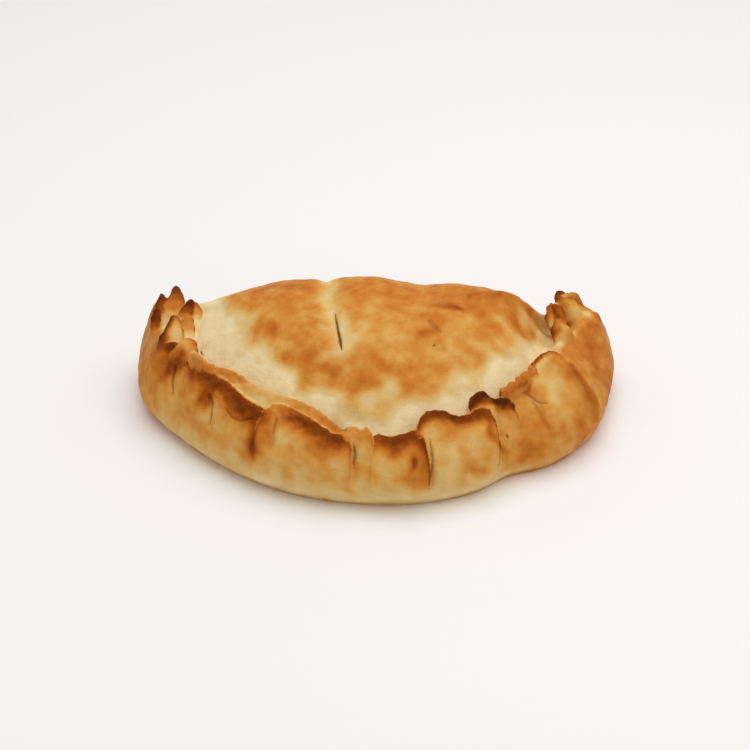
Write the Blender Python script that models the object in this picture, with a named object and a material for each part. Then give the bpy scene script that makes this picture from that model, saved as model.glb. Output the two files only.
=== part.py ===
"""A vegetable calzone: a half-moon of baked dough whose crimped rim is folded up round the front.

Lengths are in millimetres until the mesh is made in metres, +Z up. The origin is on the
surface that the calzone rests on, under the middle of its outline. Places on the crust are
given by an angle round it in degrees (0 right end, 90 middle of the back, 180 left end,
270 middle of the front), by the inset from the widest outline, and by the height.
"""

import bmesh
import bpy
import numpy as np
from mathutils import Vector

MM = 0.001

# Driving dimensions
LENGTH = 207.0
DEPTH = 118.0
HEIGHT = 52.5
FLAP_THICKNESS = 2.5
INNER_FLAP_THICKNESS = 1.9
THINNEST = 0.12

# The half-moon outline: a half ellipse in front and a squarer, shallow bow at the back
BACK_DEPTH = 18.0
FRONT_DEPTH = DEPTH - BACK_DEPTH
WIDEST_Y = DEPTH / 2 - BACK_DEPTH
BACK_SQUARENESS = 0.55
NEAR_ANGLE = 0.5
# Swellings and hollows of the outline: middle and reach in degrees, size outward
OUTLINE_WAVES = (
    (198, 9, 2.0),
    (226, 24, -4.5),
    (262, 22, -2.5),
    (290, 9, -1.0),
    (304, 8, -4.5),
    (318, 9, 1.5),
    (331, 9, 3.0),
    (352, 12, 1.0),
)
# The fold at the back runs between these turns past the middle of the back
BACK_FOLD_END = 50
FRONT_START = 95

# The wall bulges over the base, which is tucked in under it, and leans in above the bulge
BULGE_HEIGHT_FRONT = 11.0
BULGE_HEIGHT_BACK = 18.0
TUCK_FRONT = 5.0
TUCK_BACK = 9.0
WALL_LEAN = 1.5
MOST_LEAN = 2
BELOW_BASE = -4.0

# The shoulder of the wall by angle, counted 90 to 450 round from the middle of the back
RIM_HEIGHT = (
    (90, 0.48 * HEIGHT),
    (115, 0.5 * HEIGHT),
    (130, 31),
    (140, 36),
    (150, 37.5),
    (170, 36),
    (185, 34),
    (200, 32.5),
    (215, 31.5),
    (226, 29.5),
    (240, 27),
    (252, 26.5),
    (266, 23.5),
    (276, 24),
    (285, 27),
    (300, 27),
    (310, 30),
    (320, 32),
    (332, 33.5),
    (345, 33),
    (357, 33.5),
    (380, 35.5),
    (391, 38.5),
    (398, 41.5),
    (402, 40),
    (407, 30),
    (412, 22),
    (419, 19),
    (434, 20.5),
    (450, 0.48 * HEIGHT),
)
RIM_INSET = (
    (90, 2),
    (118, 4),
    (130, 8),
    (140, 10),
    (165, 10),
    (185, 9.5),
    (200, 10),
    (208, 11.5),
    (220, 10.5),
    (240, 10),
    (250, 11),
    (262, 8),
    (276, 9),
    (285, 12.5),
    (296, 11),
    (303, 9.5),
    (310, 14),
    (320, 20),
    (330, 20),
    (342, 18),
    (354, 10),
    (394, 11),
    (409, 12),
    (415, 10),
    (422, 6),
    (432, 4),
    (450, 2),
)
# Ridges and hollows that run down the wall: angle at the top and at the foot, reach in
# degrees, size outward, and the heights between which they fade in and out
WALL_FOLDS = (
    (202, 206, 2.4, 1.8, 8, 38),
    (208, 212, 2.2, -2.2, 12, 40),
    (214.5, 222, 2.4, 1.2, 16, 38),
    (222.5, 227, 1.3, -2.0, 14, 33),
    (239, 241, 1.6, 1.6, 9, 32),
    (243.8, 244.5, 1.6, -1.2, 18, 33),
    (264.6, 265, 0.9, -2.2, 10, 29),
    (283.2, 281.8, 0.8, -1.6, 5, 27),
    (304.6, 301, 0.9, -1.4, 8, 30),
    (313.5, 315, 1.2, -1.2, 20, 33),
)
FOLD_FADES_OVER = 0.4
# The flat top of the rim, wide where the ends roll over into a horn, and the valley behind it
RIM_TOP_WIDTH = (
    (90, 0),
    (125, 0),
    (140, 8),
    (165, 9),
    (185, 8),
    (200, 6),
    (215, 3.5),
    (300, 3),
    (318, 3),
    (332, 5),
    (345, 13),
    (360, 17),
    (385, 15),
    (400, 9),
    (412, 5),
    (424, 0),
    (450, 0),
)
RIM_TOP_ROUNDING = 0.12
RIM_TOP_FALLS = (0.4, 1)
VALLEY_DEPTH = 4.5

# The puffed top: its centre, the height of its crest from end to end, and how blunt it is
TOP_CENTRE = np.array([0.0, 12.0])
CREST = (
    (-92, 32),
    (-80, 37),
    (-70, 43),
    (-58, 48),
    (-38, HEIGHT - 1),
    (-6, HEIGHT),
    (6, HEIGHT),
    (42, HEIGHT - 1.3),
    (56, 49.5),
    (64, 42.5),
    (71, 33),
    (78, 26.5),
    (92, 27),
)
TOP_POWER_FRONT = 2.0
TOP_POWER_BACK = 4.0
TOP_BLUNT_FRONT = 1.0
TOP_BLUNT_BACK = 0.5
TOP_TURNS_BLUNT = (-0.9, 0.8)
# The pinched groove, its flanks and the shallow dip that part the top into three lobes: middle at
# y = 0 and its slant along y, reach, size, and the y from which it sets in and is whole
TOP_DIPS = (
    (-16.5, -0.1, 3.6, -1.7, -12, 4),
    (-18.5, -0.1, 13, -1.2, -8, 25),
    (25, 0, 10, -2.2, 2, 32),
)

# Flaps of the crimped rim. The free edge runs through a few (angle, inset, height) points;
# foot is the height where the flap grows out of the wall, and lift raises its two side edges.
FLAP_SIDE_ROUNDING = 0.05
FLAP_SWELLS = (0, 0.55)
FLAP_SINKS = (0.75, 1)
FLAP_LEANS_FROM = 0.1
LIFT_POWER = 3
FLAPS = {
    "left long": dict(
        edge=(
            (199, 9, 33),
            (200, 10, 36.5),
            (202.4, 12, 38),
            (204.5, 16, 37.7),
            (207.5, 16, 37),
            (213.5, 13.8, 36.5),
            (219, 12, 36),
            (224, 13.5, 35),
            (231.6, 12.5, 33),
            (239.4, 12.5, 30.5),
        ),
        foot=12,
        stand=1.2,
        lift=(1.5, 0),
    ),
    "left inner": dict(
        edge=(
            (206, 15.5, 36),
            (212, 15, 39),
            (219.4, 15, 38.3),
            (224, 18, 37.5),
            (231.7, 18.7, 36),
            (240.4, 19.6, 34.5),
            (248, 21, 33.5),
            (254.7, 18.9, 32),
            (262.5, 12.5, 29.5),
        ),
        foot=24,
        stand=0.0,
        thick=INNER_FLAP_THICKNESS,
    ),
    "front left": dict(
        edge=(
            (239.2, 11, 28),
            (240.2, 12.2, 31.5),
            (242.3, 15.5, 33),
            (249.8, 15, 32),
            (256, 12.5, 30.5),
            (261.4, 10, 29),
            (263.6, 11.5, 28.8),
            (264.2, 11, 27),
        ),
        foot=8,
        stand=1.5,
        lift=(1.2, 0.8),
    ),
    "pinch back": dict(
        edge=(
            (261.5, 13, 29),
            (262.5, 12.8, 31),
            (264.9, 13.9, 31),
            (266.4, 12.9, 30.6),
            (267.6, 13.7, 31),
            (269.5, 11.5, 29),
        ),
        foot=18,
        stand=0.4,
        thick=INNER_FLAP_THICKNESS,
    ),
    "pinch": dict(
        edge=(
            (263.5, 12, 27),
            (264.3, 12, 27.6),
            (266.3, 10.6, 27),
            (268.8, 11.4, 27),
            (270, 11.5, 26.5),
        ),
        foot=10,
        stand=-0.4,
    ),
    "front middle": dict(
        edge=(
            (268.8, 11.5, 25),
            (269.5, 12.3, 27.2),
            (270.8, 13.5, 28),
            (272.5, 12.3, 28),
            (276.1, 12.2, 28.5),
            (280, 13.4, 29.4),
            (281.7, 11.6, 28.5),
            (282.6, 11, 25),
        ),
        foot=4,
        stand=1.4,
        lift=(0.8, 3.0),
        skew=(0, -1.0),
    ),
    "front right": dict(
        edge=(
            (279.8, 13.2, 28),
            (280.6, 14.3, 30.5),
            (282.2, 17.3, 32.4),
            (285.1, 19.3, 33.2),
            (289.2, 17.3, 33),
            (292.5, 14.8, 31.2),
            (295.9, 14.2, 31.6),
            (300, 13.5, 32),
            (303.2, 12.8, 31.3),
            (304, 11.5, 28),
        ),
        foot=6,
        stand=0.8,
        lift=(-0.8, 2.6),
        skew=(0, -2.2),
    ),
    "curl": dict(
        edge=(
            (296.2, 17, 31.5),
            (297.8, 19.2, 34.2),
            (300.4, 19.2, 35.3),
            (302.6, 17.5, 35.2),
            (304.2, 14, 33.7),
            (305.6, 13.6, 33.2),
            (306.9, 12.7, 33),
            (308.2, 10, 30.5),
        ),
        foot=20,
        stand=0.4,
        thick=INNER_FLAP_THICKNESS,
    ),
    "right": dict(
        edge=(
            (314.5, 17, 31.5),
            (317, 20.5, 34.5),
            (323.9, 25, 37.2),
            (327.8, 24.3, 38.8),
            (330, 20.8, 38.8),
            (330.6, 16.9, 37),
            (329.6, 12.5, 34.8),
            (329, 8, 31.5),
            (328.6, 3.5, 27),
            (328.3, -1, 21),
        ),
        foot=8,
        stand=1.5,
    ),
}

# Leaves of dough at the two horns and the small overlapping folds beside them: root and tip
# as (x, y, z), half the width, how far it widens at the root, how far the middle bows up, and
# how blunt the tip is.
LEAVES = {
    "left outer lobe": dict(root=(-92.5, 22, 31), tip=(-93.3, 37, 39), half_width=2.8, tip_power=2.6),
    "left outer tip": dict(root=(-91.5, 26, 32), tip=(-92, 41.5, 42.6), half_width=3.4, tip_power=1.9),
    "left main tip": dict(
        root=(-85.8, 23, 31.5),
        tip=(-86.1, 44.3, 43.9),
        half_width=6.4,
        bow=0.5,
        tip_power=1.8,
    ),
    "left inner tip": dict(
        root=(-80.5, 24, 33.5),
        tip=(-79, 37.3, 41.6),
        half_width=3.6,
        tip_power=2.0,
    ),
    "left inner lobe": dict(root=(-77.5, 26, 34), tip=(-76.2, 36.8, 40.2), half_width=3.0),
    "left scallop": dict(root=(-81, 15, 32.5), tip=(-78.6, 28.5, 39.4), half_width=4.0, tip_power=3),
    "left hood": dict(
        root=(-86, 2, 27),
        tip=(-84.3, 24.3, 41.8),
        half_width=5.4,
        spread=1,
        bow=1.5,
        droop=0.5,
        tip_power=6,
    ),
    "left small fold": dict(
        root=(-82, -3, 30),
        tip=(-76.0, 11.6, 40.0),
        half_width=4.9,
        spread=0.5,
        bow=1.0,
        droop=0.45,
        tip_power=5,
    ),
    "right main tip": dict(
        root=(89, 31, 32.5),
        tip=(79.8, 44.6, 41.8),
        half_width=5,
        bow=0.6,
        droop=0.5,
        tip_power=3,
    ),
    "right oval": dict(
        root=(79.6, 23, 31.5),
        tip=(77.2, 34, 41),
        half_width=2.5,
        bow=0.6,
        droop=0.3,
        tip_power=3,
    ),
    "right ball": dict(
        root=(77.2, 25, 31.5),
        tip=(74.4, 35.8, 40.6),
        half_width=2.1,
        bow=0.8,
        droop=0.3,
        tip_power=3,
    ),
    "right hood": dict(
        root=(85, 2, 28),
        tip=(77.6, 24.2, 40.5),
        half_width=4.8,
        spread=3,
        bow=1.8,
        droop=0.5,
        tip_power=6,
    ),
}
LEAF_THICKNESS = 2.2
LEAF_OUTLINE_POWER = 0.7
LEAF_ROOT_ROUNDING = (0.1, 0.5)
LEAF_SIDE_ROUNDING = 0.35
LEAF_END_ROUNDING = 0.15
LEAF_LIFTS = 0.7
LEAF_NARROWEST = 0.2
LEAF_FACING = (0.0, -0.66, 0.75)
# The twisted ridges between the curl and the right flap
ROPE_START = (51.5, -20.0, 34.6)
ROPE_END = (65.5, -5.5, 36.8)
ROPE_RIDGES = 5
ROPE_LEAN = (6.5, -6.0, -5.0)
ROPE_HALF_WIDTH = 2.9
ROPE_BOW = 1.8
ROPE_DROOP = 0.5

# Steps of the meshes that the solid is fused from, and its final fineness
BODY_STEPS = 360
RUN_STEPS = 14400
RIM_SMOOTHING = BODY_STEPS // 90
TOP_ROUNDING = BODY_STEPS // 14
WALL_RINGS = 18
RIM_TOP_SHARES = (0.15, 0.35, 0.55, 0.75, 0.9, 1.0)
TOP_RINGS = 40
FLAP_STEPS = (60, 36)
LEAF_STEPS = (24, 16)
FUSING_VOXEL = 0.9
TRIANGLES = 11000

CRUST_COLOUR = (0.62, 0.36, 0.13, 1.0)
CRUST_ROUGHNESS = 0.62


def ease(x, low, high):
    """0 below low, 1 above high, and a smooth step between."""
    t = np.clip((x - low) / (high - low), 0, 1)
    return t * t * (3 - 2 * t)


def bump(x, middle, reach):
    return np.exp(-(((x - middle) / reach) ** 2))


def curve_value(x, table):
    """A smooth curve through a few (place, value) pairs that never overshoots them."""
    places, values = np.array(table, float).T
    slope = np.diff(values) / np.diff(places)
    tangent = np.zeros(len(places))
    same = slope[1:] * slope[:-1] > 0
    before, after = slope[:-1][same], slope[1:][same]
    tangent[1:-1][same] = 2 * before * after / (before + after)
    x = np.clip(x, places[0], places[-1])
    i = np.clip(np.searchsorted(places, x, side="right") - 1, 0, len(places) - 2)
    step = places[i + 1] - places[i]
    share = (x - places[i]) / step
    return hermite(share, values[i], values[i + 1], step * tangent[i], step * tangent[i + 1])


def hermite(t, start, end, leave, arrive):
    """A cubic from start to end with the given tangents."""
    return (
        start * (1 + 2 * t) * (1 - t) ** 2
        + end * t * t * (3 - 2 * t)
        + leave * t * (1 - t) ** 2
        - arrive * t * t * (1 - t)
    )


def curve_through(points, steps):
    """Points of a smooth curve through a few rows, spaced by the distance between them."""
    points = np.array(points, float)
    gaps = np.linalg.norm(np.diff(points, axis=0), axis=1)
    at = np.concatenate([[0], np.cumsum(gaps)])
    tangent = np.gradient(points, at, axis=0)
    t = np.linspace(0, at[-1], steps)
    i = np.clip(np.searchsorted(at, t, side="right") - 1, 0, len(at) - 2)
    step = (at[i + 1] - at[i])[:, None]
    share = (t - at[i])[:, None] / step
    return hermite(share, points[i], points[i + 1], step * tangent[i], step * tangent[i + 1])


def plain_outline(angle):
    turn = np.radians(angle)
    across, along = np.cos(turn), np.sin(turn)
    square = np.sign(across) * np.abs(across) ** BACK_SQUARENESS
    x = np.where(along > 0, square, across) * LENGTH / 2
    y = WIDEST_Y + along * np.where(along > 0, BACK_DEPTH, FRONT_DEPTH)
    return np.stack([x, y], -1)


def outline(angle):
    """The widest outline at an angle, and the direction that points out of it."""
    run = plain_outline(angle + NEAR_ANGLE) - plain_outline(angle - NEAR_ANGLE)
    run /= np.linalg.norm(run, axis=-1, keepdims=True)
    out = np.stack([run[..., 1], -run[..., 0]], -1)
    turn = np.mod(angle, 360)
    wave = sum(size * bump(turn, middle, reach) for middle, reach, size in OUTLINE_WAVES)
    return plain_outline(angle) + out * wave[..., None], out


def from_back(angle):
    """The angle counted round from the middle of the back, 90 to 450."""
    return np.mod(angle - 90, 360) + 90


def frontness(angle):
    """1 round the crimped front, 0 along the fold at the back."""
    turn = from_back(angle) - 90
    return ease(turn, BACK_FOLD_END, FRONT_START) * ease(360 - turn, BACK_FOLD_END, FRONT_START)


def wall_inset(angle, z):
    """How far inside the widest outline the wall stands at height z."""
    front = frontness(angle)
    bulge = BULGE_HEIGHT_FRONT * front + BULGE_HEIGHT_BACK * (1 - front)
    tuck = TUCK_FRONT * front + TUCK_BACK * (1 - front)
    shoulder = curve_value(from_back(angle), RIM_HEIGHT)
    inset = curve_value(from_back(angle), RIM_INSET)
    under = tuck * np.clip(1 - np.maximum(z, 0) / bulge, 0, 1) ** 2
    lean = inset * np.clip((z - bulge) / (shoulder - bulge), 0, MOST_LEAN) ** WALL_LEAN
    return under + lean - wall_relief(angle, z)


def wall_relief(angle, z):
    """How far the folds that run down the wall stand out of it."""
    turn = from_back(angle)
    relief = 0.0
    for top, foot, reach, size, low, high in WALL_FOLDS:
        share = np.clip((z - low) / (high - low), 0, 1)
        middle = foot + (top - foot) * share
        relief = relief + size * bump(turn, middle, reach) * ease(share, 0, FOLD_FADES_OVER)
    return relief


def place(angle, inset, z):
    """Points on the crust from angle, inset and height."""
    edge, out = outline(angle)
    flat = edge - out * inset[..., None]
    return np.concatenate([flat, np.broadcast_to(z, inset.shape)[..., None]], -1)


def top_relief(x, y):
    """The pinched groove and the shallow dip that part the top into three puffed lobes."""
    return sum(
        size * bump(x, middle + slant * y, reach) * ease(y, front, back)
        for middle, slant, reach, size, front, back in TOP_DIPS
    )


def smooth_round(values, reach=RIM_SMOOTHING):
    """The mean over neighbours each way round a closed row of values."""
    return sum(np.roll(values, shift) for shift in range(-reach, reach + 1)) / (2 * reach + 1)


def valley_line(angle):
    """Where the rim's top ends and the puffed top begins, seen from above."""
    shoulder = curve_value(from_back(angle), RIM_HEIGHT)
    plain = wall_inset(angle, shoulder) + wall_relief(angle, shoulder)
    away = place(angle, plain, shoulder)[:, :2] - TOP_CENTRE
    reach = np.hypot(*away.T) - curve_value(from_back(angle), RIM_TOP_WIDTH)
    turn = np.unwrap(np.arctan2(away[:, 1], away[:, 0]))
    turn = np.maximum.accumulate(turn)
    line = np.stack([np.cos(turn), np.sin(turn)], -1) * reach[:, None]
    return np.stack([smooth_round(line[:, 0]), smooth_round(line[:, 1])], -1)


def outline_run():
    """Fine angles round the outline and how far along it each one lies."""
    fine = np.linspace(90, 450, RUN_STEPS + 1)
    gaps = np.linalg.norm(np.diff(outline(fine)[0], axis=0), axis=1)
    return fine, np.concatenate([[0], np.cumsum(gaps)])


def even_angles():
    """Angles round the outline that are the same distance apart along it."""
    fine, run = outline_run()
    return np.interp(np.linspace(0, run[-1], BODY_STEPS, endpoint=False), run, fine)


def body_rings():
    """Rings round the calzone, from below the base up the wall, over the rim and to the top."""
    angle = even_angles()
    shoulder = curve_value(from_back(angle), RIM_HEIGHT)
    rings = [place(angle, wall_inset(angle, np.zeros(BODY_STEPS)), np.full(BODY_STEPS, BELOW_BASE))]
    for share in np.linspace(0, 1, WALL_RINGS):
        z = share * shoulder
        rings.append(place(angle, wall_inset(angle, z), z))
    wall_top = rings[-1][:, :2]
    away = valley_line(angle)
    width = np.linalg.norm(wall_top - TOP_CENTRE - away, axis=1)
    valley_z = smooth_round(shoulder) - VALLEY_DEPTH * frontness(angle)
    for share in RIM_TOP_SHARES:
        flat = wall_top * (1 - share) + (TOP_CENTRE + away) * share
        rounding = RIM_TOP_ROUNDING * width * np.sin(np.pi * share)
        z = shoulder + rounding + (valley_z - shoulder) * ease(share, *RIM_TOP_FALLS)
        rings.append(np.concatenate([flat, z[:, None]], 1))
    facing_front = ease(-away[:, 1] / np.linalg.norm(away, axis=1), *TOP_TURNS_BLUNT)
    power = TOP_POWER_FRONT * facing_front + TOP_POWER_BACK * (1 - facing_front)
    blunt = TOP_BLUNT_FRONT * facing_front + TOP_BLUNT_BACK * (1 - facing_front)
    rounder = np.stack([smooth_round(away[:, 0], TOP_ROUNDING), smooth_round(away[:, 1], TOP_ROUNDING)], -1)
    for share in np.linspace(1, 0, TOP_RINGS)[1:]:
        flat = TOP_CENTRE + (away * share**2 + rounder * (1 - share**2)) * share
        swell = (1 - share**power) ** blunt
        crest = curve_value(flat[:, 0], CREST) + top_relief(flat[:, 0], flat[:, 1])
        z = valley_z + (crest - valley_z) * swell
        rings.append(np.concatenate([flat, z[:, None]], 1))
    return np.array(rings)


def flap_sheets(edge, foot, stand, thick=FLAP_THICKNESS, skew=(0, 0), lift=(0, 0)):
    """The outer and inner face of a flap that stands against the wall, meeting at its rim."""
    across, up = FLAP_STEPS
    angle_top, inset_top, z_top = curve_through(edge, across).T[:, :, None]
    u = np.linspace(0, 1, across)[:, None]
    v = np.linspace(0, 1, up)[None, :]
    angle = angle_top + (1 - v) * (skew[0] * (1 - u) + skew[1] * u)
    z = foot + (z_top - foot) * v
    miss = inset_top - wall_inset(angle_top, z_top)
    proud = stand + lift[0] * (1 - u) ** LIFT_POWER + lift[1] * u**LIFT_POWER
    proud = proud * ease(v, *FLAP_SWELLS) * (1 - ease(v, *FLAP_SINKS))
    face = wall_inset(angle, z) + miss * ease(v, FLAP_LEANS_FROM, 1) - proud
    rim = round_off((1 - v) * (z_top - foot) / (thick / 2))
    side = round_off(np.minimum(u, 1 - u) / FLAP_SIDE_ROUNDING)
    half = np.maximum(thick / 2 * rim * side, THINNEST)
    middle = face + thick / 2
    return place(angle, middle - half, z), place(angle, middle + half + (1 - v), z)


def round_off(share):
    """A quarter circle from 0 at share 0 up to 1 at share 1 and past it."""
    return np.sqrt(1 - (1 - np.clip(share, 0, 1)) ** 2)


def leaf_sheets(root, tip, half_width, spread=0.0, bow=0.0, droop=0.15, tip_power=2.4):
    """The upper and lower face of a leaf of dough from its root to its tip."""
    root, tip = np.array(root, float), np.array(tip, float)
    axis = tip - root
    side = np.cross(axis, LEAF_FACING)
    side /= np.linalg.norm(side)
    normal = np.cross(side, axis)
    normal /= np.linalg.norm(normal)
    along, across = LEAF_STEPS
    t = np.linspace(0, 1, along)[:, None]
    s = np.linspace(-1, 1, across)[None, :]
    width = (half_width + spread * (1 - t)) * np.maximum(1 - t**tip_power, 0.0) ** LEAF_OUTLINE_POWER
    width = width * round_off((t + LEAF_ROOT_ROUNDING[0]) / LEAF_ROOT_ROUNDING[1]) + LEAF_NARROWEST
    middle = root + axis * t[..., None] + side * (s * width)[..., None]
    rise = bow * np.sin(np.pi * t) * (1 - s**2) - droop * width * s**2 * (1 - LEAF_LIFTS * t)
    middle = middle + normal * rise[..., None]
    ends = round_off(np.minimum(t, 1 - t) / LEAF_END_ROUNDING)
    half = np.maximum(LEAF_THICKNESS / 2 * round_off((1 - abs(s)) / LEAF_SIDE_ROUNDING) * ends, THINNEST)
    return middle + normal * half[..., None], middle - normal * half[..., None]


def rope_leaves():
    """The root and tip of each twisted ridge between the curl and the right flap."""
    for share in np.linspace(0, 1, ROPE_RIDGES):
        tip = np.array(ROPE_START) * (1 - share) + np.array(ROPE_END) * share
        yield tip + ROPE_LEAN, tip


def add_rings(solid, rings):
    """Add the closed body from its rings."""
    rows = [[solid.verts.new(Vector(point) * MM) for point in ring] for ring in rings[:-1]]
    for lower, upper in zip(rows, rows[1:]):
        for i in range(len(lower)):
            solid.faces.new((lower[i - 1], lower[i], upper[i], upper[i - 1]))
    top = solid.verts.new(Vector(rings[-1].mean(axis=0)) * MM)
    for i in range(len(rows[-1])):
        solid.faces.new((rows[-1][i - 1], rows[-1][i], top))
    solid.faces.new(rows[0][::-1])


def add_sheets(solid, upper, lower):
    """Add a closed slab from its two faces, joined all round."""
    faces = []
    for sheet in (upper, lower):
        faces.append([[solid.verts.new(Vector(point) * MM) for point in row] for row in sheet])
    for rows, flipped in zip(faces, (False, True)):
        for near, far in zip(rows, rows[1:]):
            for i in range(1, len(near)):
                corners = (near[i - 1], near[i], far[i], far[i - 1])
                solid.faces.new(corners[::-1] if flipped else corners)
    for over, under in zip(border(faces[0]), border(faces[1])):
        solid.faces.new((over[1], over[0], under[0], under[1]))


def border(rows):
    """The edges round a grid of points, each as two points in order."""
    loop = rows[0] + [row[-1] for row in rows[1:-1]] + rows[-1][::-1] + [row[0] for row in rows[-2:0:-1]]
    return list(zip(loop, loop[1:] + loop[:1]))


def face_out(solid):
    bmesh.ops.recalc_face_normals(solid, faces=solid.faces)


def evaluated(obj):
    """A new mesh of the object as its modifiers leave it."""
    graph = bpy.context.evaluated_depsgraph_get()
    return bpy.data.meshes.new_from_object(obj.evaluated_get(graph))


def settle(obj, kind, **settings):
    """Give the object's mesh one modifier and keep the result."""
    modifier = obj.modifiers.new(kind.title(), kind)
    for name, value in settings.items():
        setattr(modifier, name, value)
    mesh = evaluated(obj)
    obj.modifiers.clear()
    obj.data = mesh


def cut_base(mesh):
    """Cut the crust flat where it rests."""
    solid = bmesh.new()
    solid.from_mesh(mesh)
    geometry = [*solid.verts, *solid.edges, *solid.faces]
    bmesh.ops.bisect_plane(solid, geom=geometry, plane_co=(0, 0, 0), plane_no=(0, 0, 1), clear_inner=True)
    rim = [edge for edge in solid.edges if edge.is_boundary]
    bmesh.ops.contextual_create(solid, geom=rim)
    bmesh.ops.triangulate(solid, faces=solid.faces)
    face_out(solid)
    solid.to_mesh(mesh)
    solid.free()


def crust_material():
    material = bpy.data.materials.new("baked crust")
    material.use_nodes = True
    shader = material.node_tree.nodes["Principled BSDF"]
    shader.inputs["Base Color"].default_value = CRUST_COLOUR
    shader.inputs["Roughness"].default_value = CRUST_ROUGHNESS
    shader.inputs["Metallic"].default_value = 0.0
    return material


def make_calzone():
    solid = bmesh.new()
    add_rings(solid, body_rings())
    for flap in FLAPS.values():
        add_sheets(solid, *flap_sheets(**flap))
    for leaf in LEAVES.values():
        add_sheets(solid, *leaf_sheets(**leaf))
    for root, tip in rope_leaves():
        add_sheets(solid, *leaf_sheets(root, tip, ROPE_HALF_WIDTH, bow=ROPE_BOW, droop=ROPE_DROOP))
    face_out(solid)
    mesh = bpy.data.meshes.new("calzone")
    solid.to_mesh(mesh)
    solid.free()
    calzone = bpy.data.objects.new("calzone", mesh)
    bpy.context.collection.objects.link(calzone)
    settle(calzone, "REMESH", mode="VOXEL", voxel_size=FUSING_VOXEL * MM)
    settle(calzone, "DECIMATE", ratio=TRIANGLES / (2 * len(calzone.data.polygons)))
    cut_base(calzone.data)
    calzone.data.materials.clear()
    calzone.data.materials.append(crust_material())
    calzone.data.shade_smooth()
    return calzone


for old in list(bpy.data.objects):
    bpy.data.objects.remove(old)
make_calzone()
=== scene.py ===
"""The looks of a vegetable calzone: its crust with lips, creases and browning, floor, light, camera.

Lengths are in millimetres until a mesh is made in metres, +Z up. Places on the crust are given by
an angle round it in degrees (0 right end, 90 middle of the back, 180 left end, 270 middle of the
front), by the inset from the widest outline, and by the height.
"""

import math

import bmesh
import bpy
import numpy as np
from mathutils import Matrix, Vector
from mathutils.kdtree import KDTree


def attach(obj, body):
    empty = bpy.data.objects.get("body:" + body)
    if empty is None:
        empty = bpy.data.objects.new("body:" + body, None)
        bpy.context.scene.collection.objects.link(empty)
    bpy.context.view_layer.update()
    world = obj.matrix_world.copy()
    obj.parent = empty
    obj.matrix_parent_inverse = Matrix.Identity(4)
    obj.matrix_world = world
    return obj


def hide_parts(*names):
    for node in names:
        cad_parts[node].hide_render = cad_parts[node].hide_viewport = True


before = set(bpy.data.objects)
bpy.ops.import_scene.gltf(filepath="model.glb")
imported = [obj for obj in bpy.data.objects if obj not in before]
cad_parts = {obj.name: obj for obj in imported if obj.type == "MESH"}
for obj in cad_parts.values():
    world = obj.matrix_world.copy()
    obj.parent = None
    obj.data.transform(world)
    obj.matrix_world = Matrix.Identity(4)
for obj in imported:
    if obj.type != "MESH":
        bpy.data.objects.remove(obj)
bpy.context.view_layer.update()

MM = 0.001

# Driving dimensions
LENGTH = 207.0
DEPTH = 118.0
HEIGHT = 52.5
FLAP_THICKNESS = 2.5
INNER_FLAP_THICKNESS = 1.9
THINNEST = 0.12
INNER_FACE_BROWNING = 0.3
FADING_POWER = 1.8
LIP_FADING_POWER = 2.6

# The half-moon outline: a half ellipse in front and a squarer, shallow bow at the back
BACK_DEPTH = 18.0
FRONT_DEPTH = DEPTH - BACK_DEPTH
WIDEST_Y = DEPTH / 2 - BACK_DEPTH
BACK_SQUARENESS = 0.55
NEAR_ANGLE = 0.5
# Swellings and hollows of the outline: middle and reach in degrees, size outward
OUTLINE_WAVES = (
    (198, 9, 2.0),
    (226, 24, -4.5),
    (262, 22, -2.5),
    (290, 9, -1.0),
    (304, 8, -4.5),
    (318, 9, 1.5),
    (331, 9, 3.0),
    (352, 12, 1.0),
)
# The fold at the back ends at the first of these turns from its middle, and the crimped front is
# whole from the second
BACK_FOLD_END = 50
FRONT_START = 95

# The wall bulges over the base, which is tucked in under it, and leans in above the bulge
BULGE_HEIGHT_FRONT = 11.0
BULGE_HEIGHT_BACK = 18.0
TUCK_FRONT = 5.0
TUCK_BACK = 9.0
WALL_LEAN = 1.5
MOST_LEAN = 2
BELOW_BASE = -4.0

# The shoulder of the wall by angle, counted 90 to 450 round from the middle of the back
RIM_HEIGHT = (
    (90, 0.48 * HEIGHT),
    (115, 0.5 * HEIGHT),
    (130, 31),
    (140, 36),
    (150, 37.5),
    (170, 36),
    (185, 34),
    (200, 32.5),
    (215, 31.5),
    (226, 29.5),
    (240, 27),
    (252, 26.5),
    (266, 23.5),
    (276, 24),
    (285, 27),
    (300, 27),
    (310, 30),
    (320, 32),
    (332, 33.5),
    (345, 33),
    (357, 32.6),
    (372, 31.6),
    (385, 33.8),
    (391, 35.0),
    (398, 41.5),
    (402, 40),
    (407, 30),
    (412, 22),
    (419, 19),
    (434, 20.5),
    (450, 0.48 * HEIGHT),
)
RIM_INSET = (
    (90, 2),
    (118, 4),
    (130, 8),
    (140, 8),
    (165, 8),
    (185, 8.8),
    (200, 10),
    (208, 11.5),
    (220, 10.5),
    (240, 10),
    (250, 11),
    (262, 8),
    (276, 9),
    (285, 12.5),
    (296, 11),
    (303, 9.5),
    (310, 14),
    (320, 20),
    (330, 20),
    (342, 18),
    (354, 7.8),
    (372, 7.6),
    (394, 10),
    (409, 12),
    (415, 10),
    (422, 6),
    (432, 4),
    (450, 2),
)
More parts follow.
